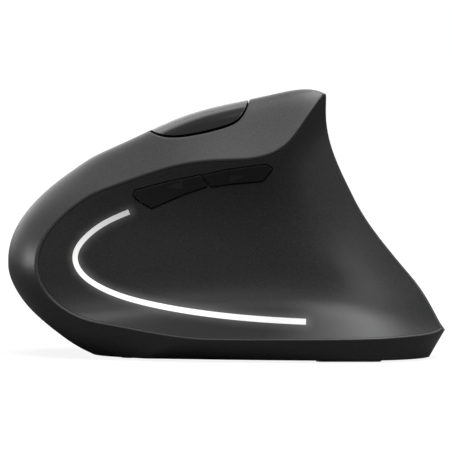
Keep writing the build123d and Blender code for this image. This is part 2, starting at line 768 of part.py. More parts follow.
axle_left = encoder_centre - strip_centre - encoder_width / 2 + arm_gap
axle_right = arm_outer
with BuildPart() as wheel_axle:
    with BuildSketch(wheel_plane.offset(axle_left)):
        Circle(axle_radius)
    extrude(amount=axle_right - axle_left)
wheel_axle.part.label = "wheel_axle"
export_step(wheel_axle.part, "parts/wheel_axle.step")

# Cradle that carries the wheel and sinks with it for the middle click
cradle_half = wheel_slot_half + cradle_bar
guide_post_reach = wheel_slot_half + cradle_bar / 2
guide_post_spots = tuple((wheel_x + side * guide_post_reach, strip_centre) for side in (-1, 1))
guide_post_radius = 0.8
guide_post_top = 12.0
tact_x = -14.5
tongue_half = 1.6
tongue_low = switch_board_high + tact_body + tact_stem + press_gap
with BuildPart() as wheel_cradle:
    with BuildSketch(finger.offset(cradle_low)):
        with Locations((wheel_x, strip_centre)):
            Rectangle(2 * cradle_half, 2 * arm_outer)
            Rectangle(2 * wheel_slot_half, 2 * arm_inner, mode=Mode.SUBTRACT)
    extrude(amount=cradle_high - cradle_low)
    with BuildSketch(finger.offset(tongue_low)):
        with Locations((wheel_x + wheel_slot_half, strip_centre)):
            Rectangle(
                tact_x + tongue_half - wheel_x - wheel_slot_half,
                2 * tongue_half,
                align=(Align.MIN, Align.CENTER),
            )
    extrude(amount=cradle_high - tongue_low)
    with BuildSketch(wheel_plane.offset(-arm_outer)):
        Circle(axle_radius + bore_gap)
    extrude(amount=2 * arm_outer, mode=Mode.SUBTRACT)
    with BuildSketch(finger.offset(cradle_low)):
        with Locations(*guide_post_spots):
            Circle(guide_post_radius + bore_gap)
    extrude(amount=cradle_high - cradle_low, mode=Mode.SUBTRACT)
wheel_cradle.part.label = "wheel_cradle"
export_step(wheel_cradle.part, "parts/wheel_cradle.step")

# Encoder with a bore wide enough for the wheel's click travel
with BuildPart() as wheel_encoder:
    with BuildSketch(finger.offset(switch_board_high)):
        with Locations((wheel_x, encoder_centre)):
            Rectangle(encoder_length, encoder_width)
    extrude(amount=encoder_high - switch_board_high)
    with BuildSketch(wheel_plane.offset(encoder_centre - strip_centre - encoder_width)):
        Circle(axle_radius + press_gap + fit_gap)
    extrude(amount=2 * encoder_width, mode=Mode.SUBTRACT)
wheel_encoder.part.label = "wheel_encoder"
export_step(wheel_encoder.part, "parts/wheel_encoder.step")

# Inner frame: inclined plate with bosses for the switch board and legs to the base plate
frame_x = (-45.0, -4.0)
frame_y = (-13.6, 12.0)
frame_tongue = (-46.0, 5.0)
switch_board_x = (-41.5, -11.5)
switch_board_y = (-14.8, 12.0)
board_boss_spots = ((-39.3, -11.4), (-39.3, 8.6), (-14.9, -7.2), (-14.9, 1.2))
leg_spots = ((-6.9, -4.0), (-6.9, 5.5), (-31.6, 5.5))
leg_size = (2.0, 3.0)


def plate_outline(x_range, y_range):
    """Board outline in the finger plane with the wheel's slot through it."""
    with BuildSketch() as outline:
        with Locations((sum(x_range) / 2, sum(y_range) / 2)):
            Rectangle(x_range[1] - x_range[0], y_range[1] - y_range[0])
        with Locations((wheel_x, strip_centre)):
            Rectangle(2 * wheel_slot_half, 2 * arm_inner, mode=Mode.SUBTRACT)
    return outline.sketch


with BuildPart() as leg_solids:
    with BuildSketch(Plane.XY.offset(plate_top + rest_gap)):
        with Locations(*leg_spots):
            Rectangle(*leg_size)
    extrude(amount=height)
with BuildPart() as under_plate:
    with BuildSketch(finger.offset((frame_low + frame_high) / 2)):
        Rectangle(2 * length, 2 * length)
    extrude(amount=-height)
with BuildPart() as inner_frame:
    with BuildSketch(finger.offset(frame_low)):
        add(plate_outline(frame_x, frame_y))
        with Locations((frame_tongue[0], strip_centre)):
            Rectangle(frame_tongue[1], frame_tongue[1])
    extrude(amount=frame_high - frame_low)
    with BuildSketch(finger.offset(frame_high)):
        with Locations(*board_boss_spots):
            Circle(boss_radius)
    extrude(amount=switch_board_low - frame_high)
    with BuildSketch(finger.offset(frame_high)):
        with Locations(*guide_post_spots):
            Circle(guide_post_radius)
    extrude(amount=guide_post_top - frame_high)
    add(leg_solids.part & under_plate.part)
    with BuildSketch(finger.offset(switch_board_high)):
        with Locations(*board_boss_spots):
            Circle(board_screw_radius + bore_gap)
    extrude(amount=-board_screw_length, mode=Mode.SUBTRACT)
inner_frame.part.label = "inner_frame"
export_step(inner_frame.part, "parts/inner_frame.step")

with BuildPart() as switch_board:
    with BuildSketch(finger.offset(switch_board_low)):
        add(plate_outline(switch_board_x, switch_board_y))
        with Locations(*board_boss_spots):
            Circle(board_screw_radius + fit_gap, mode=Mode.SUBTRACT)
        with Locations(*guide_post_spots):
            Circle(guide_post_radius + fit_gap, mode=Mode.SUBTRACT)
    extrude(amount=board_thickness)
switch_board.part.label = "switch_board"
export_step(switch_board.part, "parts/switch_board.step")


def microswitch(switch_y):
    """Snap-action switch with its small button under the key's plunger."""
    with BuildPart() as form:
        with BuildSketch(finger.offset(switch_board_high)):
            with Locations((micro_x, switch_y)):
                Rectangle(micro_length, micro_width)
        extrude(amount=micro_body)
        with BuildSketch(finger.offset(switch_board_high + micro_body)):
            with Locations((micro_button_x, switch_y)):
                RectangleRounded(2 * micro_button, post_radius * 2, micro_button / 2)
        extrude(amount=micro_button)
    return form.part


with BuildPart() as left_microswitch:
    add(microswitch(left_switch_y))
left_microswitch.part.label = "left_microswitch"
export_step(left_microswitch.part, "parts/left_microswitch.step")

with BuildPart() as right_microswitch:
    add(microswitch(right_switch_y))
right_microswitch.part.label = "right_microswitch"
export_step(right_microswitch.part, "parts/right_microswitch.step")

with BuildPart() as middle_tact:
    add(tact_switch(finger.offset(switch_board_high), (tact_x, strip_centre)))
middle_tact.part.label = "middle_tact"
export_step(middle_tact.part, "parts/middle_tact.step")

# Base plate and what stands on it
battery_radius = 5.2
battery_length = 44.5
nub_radius = 1.9
nub_length = 0.8
battery_level = 8.4
battery_lanes = (-6.6, 4.6)
contact_thickness = 0.3
contact_size = 8.0
spring_length = 1.3
bay_front = -3.2
bay_wall = 1.2
bay_top = 13.2
bay_length = 2 * contact_thickness + 2 * rest_gap + spring_length + battery_length
bay_half = (battery_lanes[1] - battery_lanes[0]) / 2 + battery_radius + fit_gap
bay_centre = (bay_front + bay_length / 2, sum(battery_lanes) / 2)
rib_spots = (0.25, 0.72)
door_lap = 1.8
door_thickness = 1.2
receiver_spot = (4.0, 17.0)
receiver_size = (14.5, 6.0)
receiver_body_low = 1.0
receiver_body_high = 7.0
plug_size = (12.2, 4.6)
plug_wall = 0.35
plug_length = 12.0
tongue_size = (11.0, 1.8)
pocket_wall = 1.0
pocket_top = receiver_body_high + plug_length + 1.2
main_board_x = (-25.5, -9.2)
main_board_y = (-14.0, 16.0)
main_board_low = 6.0
main_board_high = main_board_low + board_thickness
main_boss_spots = ((-23.4, -11.6), (-23.4, 13.6), (-11.3, -11.6), (-11.3, 13.6))
sensor_spot = (-18.0, 2.0)
sensor_size = (6.6, 9.6)
sensor_height = 2.2
window_size = (7.0, 11.0)
window_corner = 0.9
lens_size = (10.0, 14.0)
lens_barrel = (5.4, 8.0)
lens_bottom = 1.2
aperture_radius = 1.8
chip_spot = (-17.5, 11.8)
chip_size = 5.0
chip_height = 0.9
knob_spot = (-16.5, -8.0)
knob_size = (3.6, 2.4)
knob_stem = (1.4, 1.2)
knob_travel = 2.5
knob_low = 1.05
knob_high = 2.5
knob_stem_top = 4.1
switch_size = (8.4, 4.0)
switch_low = 3.3
clear_gap = 0.3
shell_head_radius = 1.9
shell_head = 0.7
foot_height = 0.95
foot_recess = 0.3
foot_spots = ((-26.4, 3.0, 4.6, 18.0), (34.0, -18.6, 18.0, 4.2), (31.0, 15.6, 15.0, 4.0))

slot_size = (knob_size[0] + knob_travel + 2 * clear_gap, knob_size[1] + 2 * clear_gap)
with BuildPart() as plate_slab:
    with BuildSketch(Plane.XY.offset(stand_off)):
        Rectangle(2 * length, 2 * length)
    extrude(amount=plate_thickness)
plate_core = skirt_form(wall + fit_gap, -wall, cutter_reach) & hull_form(wall + fit_gap)
with BuildPart() as base_plate:
    add(plate_slab.part & plate_core)
    with BuildSketch(Plane.XY.offset(plate_top)):
        with Locations(bay_centre):
            Rectangle(bay_length + 2 * bay_wall, 2 * (bay_half + bay_wall))
            Rectangle(bay_length, 2 * bay_half, mode=Mode.SUBTRACT)
    extrude(amount=bay_top - plate_top)
    with BuildSketch(Plane.XY.offset(battery_level)):
        for share in rib_spots:
            with Locations((bay_front + share * bay_length, bay_centre[1])):
                Rectangle(bay_wall, 2 * bay_half)
    extrude(amount=bay_top - battery_level)
    with BuildSketch(Plane.XY.offset(plate_top)):
        with Locations(receiver_spot):
            Rectangle(
                receiver_size[0] + 2 * (fit_gap + pocket_wall),
                receiver_size[1] + 2 * (fit_gap + pocket_wall),
            )
    extrude(amount=pocket_top + pocket_wall - plate_top)
    with BuildSketch(Plane.XY.offset(plate_top)):
        with Locations(*main_boss_spots):
            Circle(boss_radius)
    extrude(amount=main_board_low - plate_top)
    with BuildSketch(Plane.XY.offset(stand_off)):
        with Locations(receiver_spot):
            Rectangle(receiver_size[0] + 2 * fit_gap, receiver_size[1] + 2 * fit_gap)
    extrude(amount=pocket_top - stand_off, mode=Mode.SUBTRACT)
    with BuildSketch(Plane.XY.offset(stand_off)):
        with Locations(bay_centre):
            Rectangle(bay_length, 2 * bay_half)
        with Locations(sensor_spot):
            RectangleRounded(*window_size, window_corner)
        with Locations(knob_spot):
            RectangleRounded(*slot_size, clear_gap)
        with Locations(*pillar_spots):
            Circle(shell_screw_radius + fit_gap)
    extrude(amount=plate_thickness, mode=Mode.SUBTRACT)
    with BuildSketch(Plane.XY.offset(stand_off)):
        with Locations(bay_centre):
            Rectangle(bay_length + 2 * door_lap, 2 * bay_half)
    extrude(amount=door_thickness + rest_gap, mode=Mode.SUBTRACT)
    with BuildSketch(Plane.XY.offset(stand_off)):
        with Locations(*pillar_spots):
            Circle(shell_head_radius + fit_gap)
    extrude(amount=shell_head + fit_gap, mode=Mode.SUBTRACT)
    with BuildSketch(Plane.XY.offset(stand_off)):
        for x, y, foot_x, foot_y in foot_spots:
            with Locations((x, y)):
                SlotOverall(max(foot_x, foot_y) + 2 * rest_gap, min(foot_x, foot_y) + 2 * rest_gap,
                            rotation=0 if foot_x > foot_y else 90)
    extrude(amount=foot_recess, mode=Mode.SUBTRACT)
    with BuildSketch(Plane.XY.offset(main_board_high)):
        with Locations(*main_boss_spots):
            Circle(board_screw_radius + bore_gap)
    extrude(amount=-board_screw_length, mode=Mode.SUBTRACT)
    for lane in battery_lanes:
        with BuildSketch(Plane.YZ.offset(bay_front + rest_gap)):
            with Locations((lane, battery_level)):
                Circle(battery_radius + rest_gap)
        extrude(amount=bay_length - 2 * rest_gap, mode=Mode.SUBTRACT)
base_plate.part.label = "base_plate"
export_step(base_plate.part, "parts/base_plate.step")

# Battery door with two saddle ribs under the cells and a finger groove
groove_width = 1.2
groove_depth = 0.4
groove_count = 4
saddle_height = battery_level - battery_radius / 2 - stand_off - door_thickness
with BuildPart() as battery_door:
    with BuildSketch(Plane.XY.offset(stand_off)):
        with Locations(bay_centre):
            Rectangle(bay_length + 2 * (door_lap - fit_gap), 2 * (bay_half - fit_gap))
    extrude(amount=door_thickness)
    with BuildSketch(Plane.XY.offset(stand_off + door_thickness)):
        for share in rib_spots:
            with Locations((bay_front + share * bay_length, bay_centre[1])):
                Rectangle(bay_wall, 2 * (bay_half - 2 * fit_gap))
    extrude(amount=saddle_height)
    for lane in battery_lanes:
        with BuildSketch(Plane.YZ.offset(bay_front)):
            with Locations((lane, battery_level)):
                Circle(battery_radius + rest_gap)
        extrude(amount=bay_length, mode=Mode.SUBTRACT)
    with BuildSketch(Plane.XY.offset(stand_off)):
        for index in range(groove_count):
            with Locations((bay_front + bay_length - 2 * groove_width * (index + 1), bay_centre[1])):
                SlotOverall(bay_half, groove_width, rotation=90)
    extrude(amount=groove_depth, mode=Mode.SUBTRACT)
battery_door.part.label = "battery_door"
export_step(battery_door.part, "parts/battery_door.step")

# Two AAA cells, nub of the first to the rear and of the second to the front
bay_rear = bay_front + bay_length
cell_reach = battery_length - nub_length


def battery(lane, nub_end, facing):
    """AAA cell lying along the mouse, facing +1 or -1, its nub's tip at nub_end."""
    tip = Plane(origin=(nub_end, lane, battery_level), z_dir=(-facing, 0, 0))
    with BuildPart() as form:
        with BuildSketch(tip):
            Circle(nub_radius)
        extrude(amount=nub_length)
        with BuildSketch(tip.offset(nub_length)):
            Circle(battery_radius)
        extrude(amount=cell_reach)
    return form.part


with BuildPart() as battery_1:
    add(battery(battery_lanes[0], bay_rear - contact_thickness - rest_gap, 1))
battery_1.part.label = "battery_1"
export_step(battery_1.part, "parts/battery_1.step")

with BuildPart() as battery_2:
    add(battery(battery_lanes[1], bay_front + contact_thickness + rest_gap, -1))
battery_2.part.label = "battery_2"
export_step(battery_2.part, "parts/battery_2.step")

# Contact plates at both ends of the bay
with BuildPart() as battery_contacts:
    with BuildSketch(Plane.YZ.offset(bay_front)):
        for lane in battery_lanes:
            with Locations((lane, battery_level)):
                Rectangle(contact_size, contact_size)
    extrude(amount=contact_thickness)
    with BuildSketch(Plane.YZ.offset(bay_rear)):
        with Locations((bay_centre[1], battery_level)):
            Rectangle(battery_lanes[1] - battery_lanes[0] + contact_size, contact_size)
    extrude(amount=-contact_thickness)
battery_contacts.part.label = "battery_contacts"
export_step(battery_contacts.part, "parts/battery_contacts.step")

# One coil spring at each cell's flat end
spring_radius = 2.8
spring_wire = 0.2
spring_turns = 2
spring_height = spring_length - 2 * spring_wire - rest_gap
spring_seats = (
    (bay_front + contact_thickness + spring_wire + rest_gap, battery_lanes[0], 1),
    (bay_rear - contact_thickness - spring_wire - rest_gap, battery_lanes[1], -1),
)
with BuildPart() as battery_springs:
    for seat, lane, facing in spring_seats:
        with BuildLine() as coil:
            Helix(
                spring_height / spring_turns,
                spring_height,
                spring_radius,
                center=(seat, lane, battery_level),
                direction=(facing, 0, 0),
            )
        with BuildSketch(Plane(origin=coil.line @ 0, z_dir=coil.line % 0)):
            Circle(spring_wire)
        sweep(path=coil.line, is_frenet=True)
battery_springs.part.label = "battery_springs"
export_step(battery_springs.part, "parts/battery_springs.step")

# USB receiver stored in the base: plastic body with its tongue, and the steel plug shell
receiver_edge = 0.8
with BuildPart() as usb_receiver_body:
    with BuildSketch(Plane.XY.offset(receiver_body_low)):
        with Locations(receiver_spot):
            RectangleRounded(*receiver_size, receiver_edge)
    extrude(amount=receiver_body_high - receiver_body_low)
    with BuildSketch(Plane.XY.offset(receiver_body_high)):
        with Locations((receiver_spot[0], receiver_spot[1] + tongue_size[1] / 4)):
            Rectangle(*tongue_size)
    extrude(amount=plug_length - plug_wall)
usb_receiver_body.part.label = "usb_receiver_body"
export_step(usb_receiver_body.part, "parts/usb_receiver_body.step")

with BuildPart() as usb_receiver_plug:
    with BuildSketch(Plane.XY.offset(receiver_body_high)):
        with Locations(receiver_spot):
            RectangleRounded(*plug_size, 2 * plug_wall)
            Rectangle(plug_size[0] - 2 * plug_wall, plug_size[1] - 2 * plug_wall, mode=Mode.SUBTRACT)
    extrude(amount=plug_length)
usb_receiver_plug.part.label = "usb_receiver_plug"
export_step(usb_receiver_plug.part, "parts/usb_receiver_plug.step")

# Main board over the base plate, with an aperture under the sensor
with BuildPart() as main_board:
    with BuildSketch(Plane.XY.offset(main_board_low)):
        with Locations((sum(main_board_x) / 2, sum(main_board_y) / 2)):
            Rectangle(main_board_x[1] - main_board_x[0], main_board_y[1] - main_board_y[0])
        with Locations(*main_boss_spots):
            Circle(board_screw_radius + fit_gap, mode=Mode.SUBTRACT)
        with Locations(sensor_spot):
            Circle(aperture_radius, mode=Mode.SUBTRACT)
    extrude(amount=board_thickness)
main_board.part.label = "main_board"
export_step(main_board.part, "parts/main_board.step")

with BuildPart() as optical_sensor:
    with BuildSketch(Plane.XY.offset(main_board_high)):
        with Locations(sensor_spot):
            Rectangle(*sensor_size)
    extrude(amount=sensor_height)
optical_sensor.part.label = "optical_sensor"
export_step(optical_sensor.part, "parts/optical_sensor.step")

with BuildPart() as sensor_lens:
    with BuildSketch(Plane.XY.offset(plate_top + rest_gap)):
        with Locations(sensor_spot):
            RectangleRounded(*lens_size, window_corner)
    extrude(amount=main_board_low - plate_top - 2 * rest_gap)
    with BuildSketch(Plane.XY.offset(plate_top + rest_gap)):
        with Locations(sensor_spot):
            RectangleRounded(*lens_barrel, window_corner)
    extrude(amount=lens_bottom - plate_top - rest_gap)
sensor_lens.part.label = "sensor_lens"
export_step(sensor_lens.part, "parts/sensor_lens.step")

with BuildPart() as radio_chip:
    with BuildSketch(Plane.XY.offset(main_board_high)):
        with Locations(chip_spot):
            Rectangle(chip_size, chip_size)
    extrude(amount=chip_height)
radio_chip.part.label = "radio_chip"
export_step(radio_chip.part, "parts/radio_chip.step")

# Power switch: body under the main board, knob reaching into the plate's slot
with BuildPart() as power_switch_body:
    with BuildSketch(Plane.XY.offset(switch_low)):
        with Locations(knob_spot):
            Rectangle(*switch_size)
    extrude(amount=main_board_low - switch_low)
    with BuildSketch(Plane.XY.offset(switch_low)):
        with Locations(knob_spot):
            Rectangle(knob_stem[0] + knob_travel + 2 * clear_gap, knob_stem[1] + 2 * clear_gap)
    extrude(amount=knob_stem_top + clear_gap - switch_low, mode=Mode.SUBTRACT)
power_switch_body.part.label = "power_switch_body"
export_step(power_switch_body.part, "parts/power_switch_body.step")

with BuildPart() as power_switch_knob:
    with BuildSketch(Plane.XY.offset(knob_low)):
        with Locations((knob_spot[0] - knob_travel / 2, knob_spot[1])):
            Rectangle(*knob_size)
    extrude(amount=knob_high - knob_low)
    with BuildSketch(Plane.XY.offset(knob_high)):
        with Locations((knob_spot[0] - knob_travel / 2, knob_spot[1])):
            Rectangle(*knob_stem)
    extrude(amount=knob_stem_top - knob_high)
power_switch_knob.part.label = "power_switch_knob"
export_step(power_switch_knob.part, "parts/power_switch_knob.step")

# Glide feet let into the base plate
with BuildPart() as glide_feet:
    with BuildSketch(Plane.XY):
        for x, y, foot_x, foot_y in foot_spots:
            with Locations((x, y)):
                SlotOverall(max(foot_x, foot_y), min(foot_x, foot_y),
                            rotation=0 if foot_x > foot_y else 90)
    extrude(amount=foot_height)
glide_feet.part.label = "glide_feet"
export_step(glide_feet.part, "parts/glide_feet.step")

# Screws, one node for each size
with BuildPart() as shell_screws:
    with BuildSketch(Plane.XY.offset(stand_off + fit_gap / 2)):
        with Locations(*pillar_spots):
            Circle(shell_head_radius)
    extrude(amount=shell_head)
    with BuildSketch(Plane.XY.offset(stand_off + shell_head)):
        with Locations(*pillar_spots):
            Circle(shell_screw_radius)
    extrude(amount=shell_screw_length)
shell_screws.part.label = "shell_screws"
export_step(shell_screws.part, "parts/shell_screws.step")

# Each row: the plane of a board's outer face with its normal towards the screw heads, and spots
screw_sets = (
    (finger.offset(switch_board_high), board_boss_spots),
    (Plane.XY.offset(main_board_high), main_boss_spots),
    (Plane(origin=(0, board_thickness - side_board_front, 0), x_dir=(1, 0, 0), z_dir=(0, 1, 0)),
     [(x, -z) for x, z in standoff_spots]),
    (Plane(origin=(0, 0, dpi_board_z), x_dir=(1, 0, 0), z_dir=(0, 0, -1)),
     [(x, -y) for x, y in dpi_boss_spots]),
)
with BuildPart() as board_screws:
    for face, spots in screw_sets:
        with BuildSketch(face):
            with Locations(*spots):
                Circle(board_screw_head_radius)
        extrude(amount=board_screw_head)
        with BuildSketch(face):
            with Locations(*spots):
                Circle(board_screw_radius)
        extrude(amount=rest_gap - board_screw_length)
board_screws.part.label = "board_screws"
export_step(board_screws.part, "parts/board_screws.step")
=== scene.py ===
"""Right-handed vertical mouse, seen from its thumb side. Lengths are metres, in the frame's axes:
+X runs from the nose to the tail, +Y from the thumb side to the finger side and +Z up."""
import math

import bpy
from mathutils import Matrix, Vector

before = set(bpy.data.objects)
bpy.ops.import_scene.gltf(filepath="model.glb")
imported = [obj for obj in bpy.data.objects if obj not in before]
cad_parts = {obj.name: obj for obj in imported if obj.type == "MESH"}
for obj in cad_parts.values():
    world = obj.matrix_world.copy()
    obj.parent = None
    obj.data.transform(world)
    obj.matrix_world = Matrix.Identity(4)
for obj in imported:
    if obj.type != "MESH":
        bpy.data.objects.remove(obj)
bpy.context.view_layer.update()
bpy.context.scene.view_settings.view_transform = "Standard"

# Camera: square to the thumb side and tilted a little down on it. The mouse is seen from so far
# away that the picture has almost no perspective, so it is drawn without any.
MM = 0.001
view_tilt = math.radians(4.1)
view_width = 124.7 * MM
view_centre = (0.14 * MM, 0.0, 36.1 * MM)
view_distance = 0.6
camera = bpy.data.objects.new("camera", bpy.data.cameras.new("camera"))
camera.data.type = "ORTHO"
camera.data.ortho_scale = view_width
camera.location = (
    view_centre[0],
    view_centre[1] - view_distance * math.cos(view_tilt),
    view_centre[2] + view_distance * math.sin(view_tilt),
)
camera.rotation_euler = (math.pi / 2 - view_tilt, 0, 0)
bpy.context.scene.collection.objects.link(camera)
bpy.context.scene.camera = camera

# Main shell and click keys: moulded charcoal plastic under a soft-touch coat with a very fine
# grain. The keys are cut from the same skin and coated with it.
cloud_width = 8.33 * MM     # soft paler and darker clouds in a moulded skin
noise_range = (0.3, 0.7)    # nearly all of a noise pattern lies between these
grain_height = 0.03 * MM
rough_swing = 0.05          # the grain takes the roughness up and down by this much
edge_range = (0.99, 0.8)    # cosine of an edge's turn where the paling (rubbing and painted highlight) starts, and where it is full
# How much paler an edge is painted, partly as rubbing and partly as a painted highlight
rub_and_highlight_gain, rub_and_highlight_lift = 2.2, 0.01
MIX_SHARE, MIX_A, MIX_B, MIX_COLOUR = 0, 6, 7, 2    # a colour Mix node's sockets go by number


def linear(code):
    """A colour written as six sRGB hex digits, as linear RGBA."""
    parts = [int(code[i:i + 2], 16) / 255 for i in (0, 2, 4)]
    return [c / 12.92 if c <= 0.04045 else ((c + 0.055) / 1.055) ** 2.4 for c in parts] + [1.0]


def new_material(name):
    """A node material with nothing but its output and principled shader."""
    material = bpy.data.materials.new(name)
    material.use_nodes = True
    tree = material.node_tree
    return material, tree, tree.nodes["Principled BSDF"]


def add(tree, kind, values=None, **settings):
    """Adds a node, with its settings and the values or links of its named or numbered inputs."""
    node = tree.nodes.new(kind)
    for key, value in settings.items():
        setattr(node, key, value)
    for key, value in (values or {}).items():
        if isinstance(value, bpy.types.NodeSocket):
            tree.links.new(value, node.inputs[key])
        else:
            node.inputs[key].default_value = value
    return node


def moulded(name, colour, roughness, grain=0.0, grain_size=0.12, mottle=0.05, edge=0.25, rub_and_highlight=0.0,
            metallic=0.0, specular=0.5, coat=0.0):
    """A moulded, coated or plated skin: clouded colour, and a fine grain that shows as flecks, as
    roughness and as relief. Its edges look rounded, and are painted paler, partly as rubbing and
    partly as a painted highlight. Grain size and edge radius are in millimetres."""
    material, tree, shader = new_material(name)
    place = add(tree, "ShaderNodeTexCoord").outputs["Object"]
    cloud = add(tree, "ShaderNodeTexNoise",
                {"Vector": place, "Scale": 1 / cloud_width, "Detail": 3.0}).outputs["Fac"]
    fine = add(tree, "ShaderNodeTexNoise",
               {"Vector": place, "Scale": 1 / (grain_size * MM), "Detail": 2.0,
                "Roughness": 0.6}).outputs["Fac"]
    grain_range = {"Value": fine, "From Min": noise_range[0], "From Max": noise_range[1]}

    base = linear(colour)
    dark = [c * (1 - mottle) for c in base[:3]] + [1.0]
    light = [c * (1 + mottle) for c in base[:3]] + [1.0]
    pale = [min(1.0, c * rub_and_highlight_gain + rub_and_highlight_lift) for c in base[:3]] + [1.0]
    tint = add(tree, "ShaderNodeMix", {MIX_SHARE: cloud, MIX_A: dark, MIX_B: light},
               data_type="RGBA").outputs[MIX_COLOUR]
    fleck = add(tree, "ShaderNodeMapRange",
                grain_range | {"To Min": 1 - grain, "To Max": 1 + grain}).outputs["Result"]
    tint = add(tree, "ShaderNodeMix", {MIX_SHARE: 1.0, MIX_A: tint, MIX_B: fleck},
               data_type="RGBA", blend_type="MULTIPLY").outputs[MIX_COLOUR]

    rounded = add(tree, "ShaderNodeBevel", {"Radius": edge * MM}, samples=6).outputs["Normal"]
    facing = add(tree, "ShaderNodeNewGeometry").outputs["Normal"]
    turn = add(tree, "ShaderNodeVectorMath", {0: rounded, 1: facing},
               operation="DOT_PRODUCT").outputs["Value"]
    # Edges are painted paler here: partly rubbing, partly a painted highlight along them.
    rub_and_highlight_share = add(tree, "ShaderNodeMapRange",
               {"Value": turn, "From Min": edge_range[0], "From Max": edge_range[1],
                "To Min": 0.0, "To Max": rub_and_highlight}).outputs["Result"]
    skin = add(tree, "ShaderNodeMix", {MIX_SHARE: rub_and_highlight_share, MIX_A: tint, MIX_B: pale},
               data_type="RGBA").outputs[MIX_COLOUR]
    rough = add(tree, "ShaderNodeMapRange",
                grain_range | {"To Min": roughness - rough_swing,
                               "To Max": roughness + rough_swing}).outputs["Result"]
    relief = add(tree, "ShaderNodeBump",
                 {"Strength": grain, "Distance": grain_height, "Height": fine,
                  "Normal": rounded}).outputs["Normal"]

    tree.links.new(skin, shader.inputs["Base Color"])
    tree.links.new(rough, shader.inputs["Roughness"])
    tree.links.new(relief, shader.inputs["Normal"])
    shader.inputs["Metallic"].default_value = metallic
    shader.inputs["Specular IOR Level"].default_value = specular
    shader.inputs["Coat Weight"].default_value = coat
    return material


def dress(material, *nodes):
    """Gives CAD nodes their material."""
    for node in nodes:
        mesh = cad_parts[node].data
        mesh.materials.clear()
        mesh.materials.append(material)


# The coat looks soft, with a low sheen. Its real grain is about 0.1 mm, too fine to show, so it
# is drawn at 0.3 mm, which is one dot of the picture.
soft_touch_coat = moulded("soft_touch_coat", colour="313132", roughness=0.42, grain=0.35,
                          grain_size=0.3, edge=0.6, rub_and_highlight=0.1, specular=0.25)
dress(soft_touch_coat, "main_shell", "left_click_key", "right_click_key")

# Thumb panel: a darker scooped moulding let into the shell's side, with the same fine grain. The
# light guide's spill on the skin beside it is painted: the material glows by the distance to its
# line.
# X and Z of the guide's middle line, in millimetres
guide_line = ((-26.6, 40.9), (-33.8, 37.6), (-38.5, 34.0), (-41.1, 30.3), (-41.5, 28.4),
              (-40.4, 25.0), (-36.1, 21.1), (-31.3, 18.7), (-21.9, 15.9), (-12.4, 14.1),
              (1.8, 12.4), (22.2, 11.2))
guide_half = 0.7 * MM       # half the guide's width
upper_range = (25 * MM, 41 * MM)
upper_share = 0.45          # brightness left at the upper end
rear_range = (-5 * MM, 22 * MM)
rear_share = 0.75           # brightness left at the rear end
glow_reach = 2.6 * MM
glow_falloff = 2.2
glow_beside = 0.075         # strength right beside the guide


def lit_share(tree, place):
    """How bright the guide is: full in the lower run, weaker towards its upper and rear ends."""
    axes = add(tree, "ShaderNodeSeparateXYZ", {0: place}).outputs
    upper = add(tree, "ShaderNodeMapRange",
                {"Value": axes["Z"], "From Min": upper_range[0], "From Max": upper_range[1],
                 "To Min": 1.0, "To Max": upper_share}).outputs["Result"]
    rear = add(tree, "ShaderNodeMapRange",
               {"Value": axes["X"], "From Min": rear_range[0], "From Max": rear_range[1],
                "To Min": 1.0, "To Max": rear_share}).outputs["Result"]
    return add(tree, "ShaderNodeMath", {0: upper, 1: rear}, operation="MULTIPLY").outputs["Value"]


# The bare plastic looks darker and drier than the coat, and its grain is drawn as coarse
panel_grain = moulded("panel_grain", colour="282829", roughness=0.38, grain=0.35, grain_size=0.3,
                      edge=0.25, rub_and_highlight=0.05, specular=0.12)
tree = panel_grain.node_tree
shader = tree.nodes["Principled BSDF"]
place = add(tree, "ShaderNodeTexCoord").outputs["Object"]
side_place = add(tree, "ShaderNodeVectorMath", {0: place, 1: (1, 0, 1)},
                 operation="MULTIPLY").outputs["Vector"]
nearest = None
for start, end in zip(guide_line, guide_line[1:]):
    origin = (start[0] * MM, 0, start[1] * MM)
    run_x, run_z = [(e - b) * MM for b, e in zip(start, end)]
    square = run_x ** 2 + run_z ** 2
    offset = add(tree, "ShaderNodeVectorMath", {0: side_place, 1: origin},
                 operation="SUBTRACT").outputs["Vector"]
    along = add(tree, "ShaderNodeVectorMath",
                {0: offset, 1: (run_x / square, 0, run_z / square)},
                operation="DOT_PRODUCT").outputs["Value"]
    held = add(tree, "ShaderNodeClamp", {"Value": along}).outputs["Result"]
    foot = add(tree, "ShaderNodeVectorMath", {0: (run_x, 0, run_z), "Scale": held},
               operation="SCALE").outputs["Vector"]
    gap = add(tree, "ShaderNodeVectorMath", {0: offset, 1: foot},
              operation="DISTANCE").outputs["Value"]
    if nearest is not None:
        gap = add(tree, "ShaderNodeMath", {0: nearest, 1: gap},
                  operation="MINIMUM").outputs["Value"]
    nearest = gap
fade = add(tree, "ShaderNodeMapRange",
           {"Value": nearest, "From Min": guide_half, "From Max": guide_half + glow_reach,
            "To Min": 1.0, "To Max": 0.0}).outputs["Result"]
fade = add(tree, "ShaderNodeMath", {0: fade, 1: glow_falloff}, operation="POWER").outputs["Value"]
spill = add(tree, "ShaderNodeMath", {0: fade, 1: lit_share(tree, place)},
            operation="MULTIPLY").outputs["Value"]
spill = add(tree, "ShaderNodeMath", {0: spill, 1: glow_beside},
            operation="MULTIPLY").outputs["Value"]
# Painted glow: the panel's skin emits the guide's spill near its line.
shader.inputs["Emission Color"].default_value = linear("ffffff")
tree.links.new(spill, shader.inputs["Emission Strength"])
dress(panel_grain, "thumb_panel")
